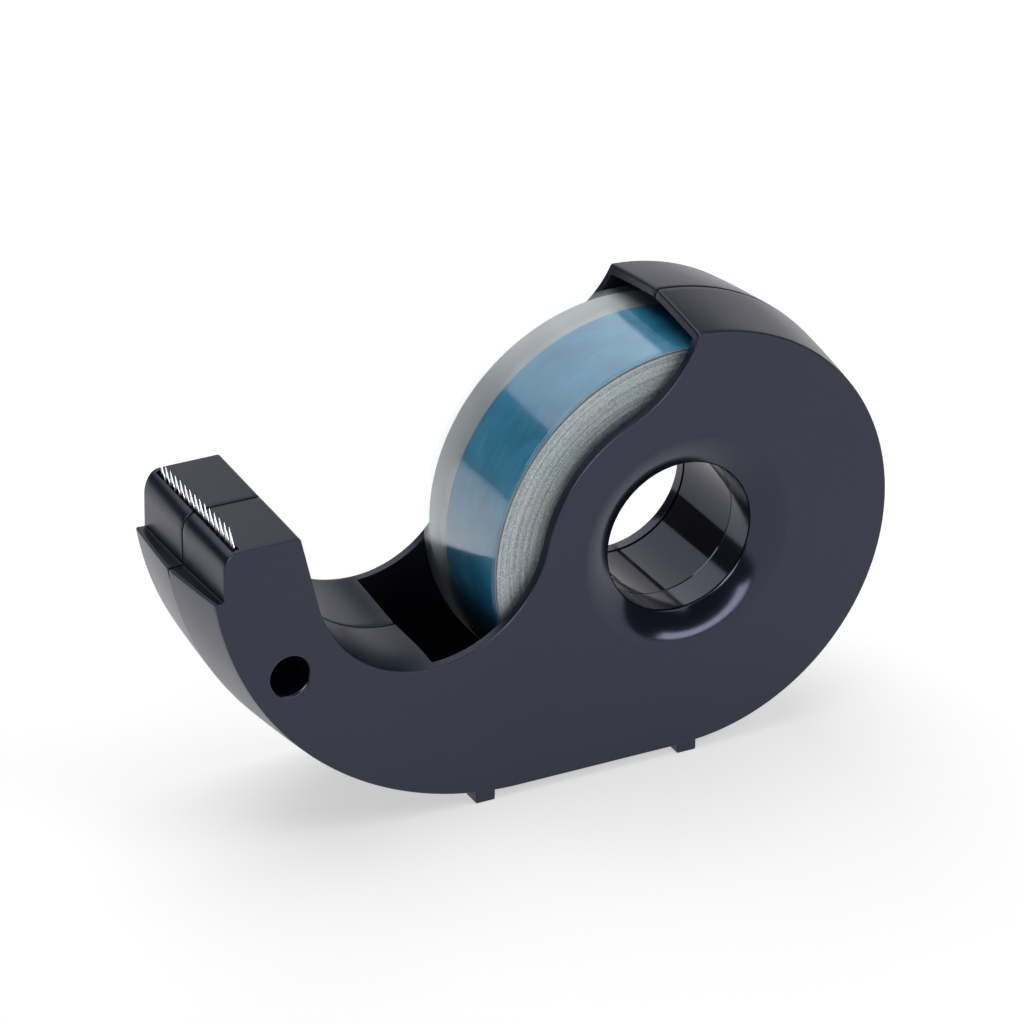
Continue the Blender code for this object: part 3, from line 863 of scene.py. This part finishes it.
def noise(tree, where, scale, detail=2.0, rough=0.5):
    made = node(tree, "ShaderNodeTexNoise")
    made.inputs["Scale"].default_value = scale
    made.inputs["Detail"].default_value = detail
    made.inputs["Roughness"].default_value = rough
    tree.links.new(where, made.inputs["Vector"])
    return made.outputs["Fac"]


def ramp(tree, factor, stops):
    """A colour ramp through (place, colour) stops. A number stands for a grey."""
    made = node(tree, "ShaderNodeValToRGB")
    elements = made.color_ramp.elements
    while len(elements) < len(stops):
        elements.new(0.5)
    for element, (place, colour) in zip(elements, stops):
        element.position = place
        element.color = (colour, colour, colour, 1) if isinstance(colour, float) else (*colour, 1)
    tree.links.new(factor, made.inputs["Fac"])
    return made.outputs["Color"]


def bump(tree, height, strength, distance):
    made = node(tree, "ShaderNodeBump")
    made.inputs["Strength"].default_value = strength
    made.inputs["Distance"].default_value = distance
    tree.links.new(height, made.inputs["Height"])
    return made.outputs["Normal"]


def maths(tree, operation, first, second):
    """One operation on a socket and a second socket or number."""
    made = node(tree, "ShaderNodeMath", operation=operation)
    tree.links.new(first, made.inputs[0])
    if isinstance(second, (int, float)):
        made.inputs[1].default_value = second
    else:
        tree.links.new(second, made.inputs[1])
    return made.outputs["Value"]


def ranged(tree, value, low, high, **settings):
    """A share that grows from 0 at low to 1 at high, both in millimetres. The value is in metres."""
    made = node(tree, "ShaderNodeMapRange", **settings)
    made.inputs["From Min"].default_value = low * MM
    made.inputs["From Max"].default_value = high * MM
    tree.links.new(value, made.inputs["Value"])
    return made.outputs["Result"]


def offset_from(tree, point):
    """The way from a point of the row frame to the shaded place, as a socket in metres."""
    shift = node(tree, "ShaderNodeVectorMath", operation="SUBTRACT")
    tree.links.new(place_of(tree), shift.inputs[0])
    shift.inputs[1].default_value = point
    return shift.outputs["Vector"]


def axis_reach(tree, offset):
    """The part of an offset that is square to an axis along Y."""
    flat = node(tree, "ShaderNodeVectorMath", operation="MULTIPLY")
    flat.inputs[1].default_value = (1, 0, 1)
    tree.links.new(offset, flat.inputs[0])
    reach = node(tree, "ShaderNodeVectorMath", operation="LENGTH")
    tree.links.new(flat.outputs["Vector"], reach.inputs[0])
    return reach.outputs["Value"]


def unpolished_share(tree):
    """0 in the dish and round the nose hole, and 1 on the rest of the shell."""
    hole = HUB + Vector((NOSE_HOLE[0], 0, NOSE_HOLE[1])) * MM
    hub_reach = axis_reach(tree, offset_from(tree, HUB))
    hole_reach = axis_reach(tree, offset_from(tree, hole))
    past_dish = maths(tree, "SUBTRACT", hub_reach, DISH_RADIUS * MM)
    past_hole = maths(tree, "SUBTRACT", hole_reach, (NOSE_HOLE_RADIUS + HOLE_ROUND) * MM)
    nearest = maths(tree, "MINIMUM", past_dish, past_hole)
    return ranged(tree, nearest, *POLISH_RUN, interpolation_type="SMOOTHSTEP")


def shell_plastic():
    """Satin black plastic with a fine grain and slight clouding, polished round the hub and nose hole."""
    found = bpy.data.materials.get("satin_black_plastic")
    if found:
        return found
    found, tree, shader = new_material("satin_black_plastic")
    where = place_of(tree)
    cloud = noise(tree, where, 60, 4)
    grain = noise(tree, where, 5200, 3)
    tree.links.new(
        ramp(tree, cloud, [(0.3, (0.0045, 0.0060, 0.0120)), (0.7, (0.0060, 0.0075, 0.0150))]),
        shader.inputs["Base Color"],
    )
    unpolished = unpolished_share(tree)
    satin = ramp(tree, cloud, [(0.3, 0.30), (0.7, 0.37)])
    gloss = ramp(tree, cloud, [(0.3, 0.13), (0.7, 0.16)])
    tree.links.new(mixed(tree, unpolished, gloss, satin), shader.inputs["Roughness"])
    grained = node(tree, "ShaderNodeBump")
    grained.inputs["Distance"].default_value = 0.00004
    tree.links.new(grain, grained.inputs["Height"])
    tree.links.new(maths(tree, "MULTIPLY", unpolished, GRAIN_STRENGTH), grained.inputs["Strength"])
    rounded = node(tree, "ShaderNodeBevel", samples=4)
    rounded.inputs["Radius"].default_value = RIM_ROUND * MM
    tree.links.new(rounded.outputs["Normal"], grained.inputs["Normal"])
    tree.links.new(grained.outputs["Normal"], shader.inputs["Normal"])
    shader.inputs["Specular IOR Level"].default_value = 0.65
    shader.inputs["Specular Tint"].default_value = (0.69, 0.71, 1.0, 1)
    return found


def sleeve_plastic():
    """Polished black plastic."""
    found, tree, shader = new_material("sleeve_plastic")
    where = place_of(tree)
    smear = noise(tree, where, 300, 3)
    tree.links.new(
        ramp(tree, smear, [(0.3, (0.008, 0.008, 0.011)), (0.7, (0.012, 0.012, 0.016))]),
        shader.inputs["Base Color"],
    )
    tree.links.new(ramp(tree, smear, [(0.35, 0.05), (0.75, 0.09)]), shader.inputs["Roughness"])
    shader.inputs["Specular IOR Level"].default_value = 0.4
    shader.inputs["Specular Tint"].default_value = (0.62, 0.66, 1.0, 1)
    return found


def ground_steel():
    """Bright strip steel with fine grinding marks that run up the teeth."""
    found, tree, shader = new_material("ground_steel")
    where = place_of(tree)
    mapping = node(tree, "ShaderNodeMapping")
    mapping.inputs["Scale"].default_value = (400, 9000, 400)
    tree.links.new(where, mapping.inputs["Vector"])
    marks = noise(tree, mapping.outputs["Vector"], 1.0, 3)
    steel = ramp(tree, marks, [(0.3, (0.66, 0.67, 0.68)), (0.7, (0.86, 0.87, 0.88))])
    tree.links.new(steel, shader.inputs["Base Color"])
    tree.links.new(ramp(tree, marks, [(0.3, 0.18), (0.7, 0.34)]), shader.inputs["Roughness"])
    tree.links.new(bump(tree, marks, 0.15, 0.00003), shader.inputs["Normal"])
    shader.inputs["Metallic"].default_value = 1.0
    return found


def core_plastic():
    found, tree, shader = new_material("core_plastic")
    where = place_of(tree)
    mottle = noise(tree, where, 500, 4)
    white = ramp(tree, mottle, [(0.3, (0.56, 0.57, 0.55)), (0.7, (0.66, 0.66, 0.63))])
    tree.links.new(white, shader.inputs["Base Color"])
    tree.links.new(ramp(tree, mottle, [(0.3, 0.42), (0.7, 0.55)]), shader.inputs["Roughness"])
    tree.links.new(bump(tree, noise(tree, where, 3000, 2), 0.1, 0.00004), shader.inputs["Normal"])
    return found


def roll_place(tree):
    """(distance from the hub axis, turn about it, Y) as sockets, in metres and radians."""
    offset = offset_from(tree, HUB)
    parts = node(tree, "ShaderNodeSeparateXYZ")
    tree.links.new(offset, parts.inputs["Vector"])
    turn = maths(tree, "ARCTAN2", parts.outputs["Z"], parts.outputs["X"])
    return axis_reach(tree, offset), turn, parts.outputs["Y"]


def scaled(tree, *pairs):
    """A vector of up to three sockets, each times a number."""
    made = node(tree, "ShaderNodeCombineXYZ")
    for socket_name, (value, factor) in zip("XYZ", pairs):
        tree.links.new(maths(tree, "MULTIPLY", value, factor), made.inputs[socket_name])
    return made.outputs["Vector"]


def mixed(tree, factor, first, second, blend="MIX"):
    """One colour mixed with another. The factor is a number or a socket."""
    made = node(tree, "ShaderNodeMix", data_type="RGBA", blend_type=blend)
    inputs = {socket.identifier: socket for socket in made.inputs}
    if isinstance(factor, float):
        inputs["Factor_Float"].default_value = factor
    else:
        tree.links.new(factor, inputs["Factor_Float"])
    tree.links.new(first, inputs["A_Color"])
    tree.links.new(second, inputs["B_Color"])
    return next(socket for socket in made.outputs if socket.identifier == "Result_Color")


def wound_tape():
    """The edges of many turns of film, as fine rings broken by short glints, which are painted highlights in
    the colour. The rolled outside is plain.
    """
    found, tree, shader = new_material("wound_tape")
    reach, turn, y = roll_place(tree)
    rings = noise(tree, scaled(tree, (reach, 3600), (turn, 0.8), (y, 60)), 1.0, 3, 0.7)
    glints = noise(tree, scaled(tree, (reach, 5200), (turn, 150.0), (y, 900)), 1.0, 2, 0.6)
    mass = noise(tree, place_of(tree), 90, 3)
    ring_tone = ramp(
        tree,
        rings,
        [(0.36, (0.20, 0.24, 0.26)), (0.50, (0.56, 0.61, 0.63)), (0.64, (0.94, 0.96, 0.96))],
    )
    # painted highlight: bright streaks in the base colour that stand in for sparkle off the film's edges
    painted_glint_tone = ramp(
        tree,
        glints,
        [(0.36, (0.24, 0.28, 0.30)), (0.52, (0.60, 0.65, 0.66)), (0.66, (0.97, 0.98, 0.98))],
    )
    cloud = ramp(tree, mass, [(0.3, (0.80, 0.88, 0.92)), (0.7, (1.0, 1.0, 0.97))])
    edges = mixed(tree, 0.5, ring_tone, painted_glint_tone)
    rolled = ranged(tree, reach, *(TURNS_RADII[1] - depth for depth in OUTSIDE_SKIN))
    pale = ramp(tree, mass, [(0.3, (0.68, 0.70, 0.71)), (0.7, (0.80, 0.80, 0.80))])
    tone = mixed(tree, rolled, edges, pale)
    tree.links.new(mixed(tree, 1.0, tone, cloud, "MULTIPLY"), shader.inputs["Base Color"])
    tree.links.new(ramp(tree, glints, [(0.3, 0.55), (0.7, 0.3)]), shader.inputs["Roughness"])
    tree.links.new(bump(tree, rings, 0.35, 0.00008), shader.inputs["Normal"])
    return found


def band_print():
    """Deep blue print seen through the film, paler in blotches where the film does not lie tight."""
    found, tree, shader = new_material("band_print")
    reach, turn, y = roll_place(tree)
    patches = noise(tree, scaled(tree, (turn, 3.2), (y, 160), (reach, 0.0)), 1.0, 4, 0.6)
    streaks = noise(tree, scaled(tree, (turn, 6.0), (y, 2600), (reach, 0.0)), 1.0, 2)
    blue = ramp(
        tree,
        patches,
        [(0.35, (0.035, 0.34, 0.60)), (0.55, (0.060, 0.46, 0.76)), (0.75, (0.120, 0.56, 0.88))],
    )
    fine = ramp(tree, streaks, [(0.3, 0.86), (0.7, 1.0)])
    printed = mixed(tree, 1.0, blue, fine, "MULTIPLY")
    inside = ranged(tree, y, *(BAND_Y[0] + margin for margin in BARE_MARGIN))
    bare = ramp(tree, streaks, [(0.3, (0.30, 0.34, 0.35)), (0.7, (0.42, 0.46, 0.46))])
    tree.links.new(mixed(tree, inside, bare, printed), shader.inputs["Base Color"])
    tree.links.new(ramp(tree, patches, [(0.3, 0.35), (0.7, 0.5)]), shader.inputs["Roughness"])
    return found


def clear_film():
    """Clear film: what is under it shows, and it mirrors more the flatter it is seen."""
    found, tree, shader = new_material("clear_film")
    reach, turn, y = roll_place(tree)
    shader.inputs["Metallic"].default_value = 1.0
    shader.inputs["Base Color"].default_value = (0.95, 0.97, 1.0, 1)
    ripple = noise(tree, scaled(tree, (turn, 9.0), (y, 160), (reach, 0.0)), 1.0, 3)
    taut = ramp(tree, ripple, [(0.3, 0.05), (0.7, 0.12)])
    loose = ramp(tree, ripple, [(0.3, 0.34), (0.7, 0.42)])
    loosening = (BAND_Y[1] + step for step in LOOSE_RUN)
    past_band = ranged(tree, y, *loosening, interpolation_type="SMOOTHSTEP")
    tree.links.new(mixed(tree, past_band, taut, loose), shader.inputs["Roughness"])
    tree.links.new(bump(tree, ripple, 0.05, 0.0003), shader.inputs["Normal"])
    facing = node(tree, "ShaderNodeLayerWeight")
    facing.inputs["Blend"].default_value = 0.5
    power = maths(tree, "POWER", facing.outputs["Facing"], MIRROR_POWER)
    share = node(tree, "ShaderNodeMapRange")
    share.inputs["To Min"].default_value = 0.03
    share.inputs["To Max"].default_value = 1.0
    tree.links.new(power, share.inputs["Value"])
    clear = node(tree, "ShaderNodeBsdfTransparent")
    clear.inputs["Color"].default_value = (0.97, 0.98, 0.98, 1)
    both = node(tree, "ShaderNodeMixShader")
    tree.links.new(share.outputs["Result"], both.inputs["Fac"])
    tree.links.new(clear.outputs["BSDF"], both.inputs[1])
    tree.links.new(shader.outputs["BSDF"], both.inputs[2])
    tree.links.new(both.outputs["Shader"], tree.nodes["Material Output"].inputs["Surface"])
    return found


# ---------------------------------------------------------------- stage, light and camera


def floor():
    bm = bmesh.new()
    bmesh.ops.create_grid(bm, x_segments=2, y_segments=2, size=3.0)
    mesh = bpy.data.meshes.new("floor")
    bm.to_mesh(mesh)
    bm.free()
    obj = bpy.data.objects.new("floor", mesh)
    bpy.context.scene.collection.objects.link(obj)
    made, tree, shader = new_material("floor_paper")
    shader.inputs["Base Color"].default_value = (0.9, 0.9, 0.9, 1)
    shader.inputs["Roughness"].default_value = 0.8
    shader.inputs["Emission Color"].default_value = (1, 1, 1, 1)
    shader.inputs["Emission Strength"].default_value = 0.55
    mesh.materials.append(made)


def softbox(name, aim, azimuth, elevation, distance, size, radiance, glint_only=False):
    """A rectangular light that faces aim, from an azimuth that turns from +Y towards +X.

    Its strength is its radiance, so that size alone doesn't change how bright it looks. A glint light
    shows in reflections alone.
    """
    turn, climb = math.radians(azimuth), math.radians(elevation)
    away = Vector((math.sin(turn) * math.cos(climb), math.cos(turn) * math.cos(climb), math.sin(climb)))
    light = bpy.data.lights.new(name, "AREA")
    light.shape = "RECTANGLE"
    light.size, light.size_y = size
    light.energy = radiance * math.pi * size[0] * size[1]
    obj = bpy.data.objects.new(name, light)
    obj.location = aim + away * distance
    obj.rotation_euler = (-away).to_track_quat("-Z", "Y").to_euler()
    obj.visible_camera = False
    obj.visible_diffuse = not glint_only
    bpy.context.scene.collection.objects.link(obj)


def lights():
    world = bpy.data.worlds.new("studio")
    world.use_nodes = True
    world.node_tree.nodes["Background"].inputs["Color"].default_value = (0.93, 0.95, 1.0, 1)
    world.node_tree.nodes["Background"].inputs["Strength"].default_value = 0.08
    bpy.context.scene.world = world
    softbox("back_softbox", HUB, -6, 43, 1.2, (1.1, 0.62), 1.3)
    softbox("high_softbox", HUB, 2, 74, 1.2, (1.3, 0.62), 1.3)
    softbox("right_softbox", HUB, 46, 17, 1.4, (1.1, 0.7), 0.8)
    softbox("left_softbox", HUB, -137, 35, 1.4, (0.9, 0.8), 6.0, glint_only=True)
    softbox("low_softbox", HUB, 167, 7, 1.3, (1.1, 0.2), 6.0, glint_only=True)
    softbox("top_softbox", HUB, 180, 76, 1.1, (0.9, 0.4), 1.1)
    softbox("front_softbox", HUB, 140, 42, 1.5, (0.8, 0.6), 1.6)


CAMERA_AZIMUTH = 28.035  # degrees that the line of sight turns from +Y towards +X
CAMERA_DROP = 27.366
CAMERA_DISTANCE = 0.8444
CAMERA_AIM = (-19.22, 0, 3.46)
CAMERA_ROLL = 0.743
CAMERA_LENS = 231.68


def camera():
    turn, drop = math.radians(CAMERA_AZIMUTH), math.radians(CAMERA_DROP)
    sight = Vector((math.sin(turn) * math.cos(drop), math.cos(turn) * math.cos(drop), -math.sin(drop)))
    data = bpy.data.cameras.new("camera")
    data.lens = CAMERA_LENS
    data.sensor_width = 36
    data.clip_start = 0.05
    obj = bpy.data.objects.new("camera", data)
    obj.location = HUB + Vector(CAMERA_AIM) * MM - sight * CAMERA_DISTANCE
    level = sight.to_track_quat("-Z", "Y").to_matrix()
    roll = Matrix.Rotation(math.radians(CAMERA_ROLL), 3, "Z")
    obj.rotation_euler = (level @ roll).to_euler()
    bpy.context.scene.collection.objects.link(obj)
    bpy.context.scene.camera = obj


def main():
    half_shell("far_half", "far_shell", "main_half", 1, FAR_SPIGOT_END)
    half_shell("near_half_shell", "near_shell", "near_half", -1, NEAR_SPIGOT_END)
    hub_sleeve()
    cutter()
    tape_core()
    tape_turns()
    printed_band()
    outer_turns()
    floor()
    lights()
    camera()
    bpy.context.scene.view_settings.view_transform = "Standard"


main()
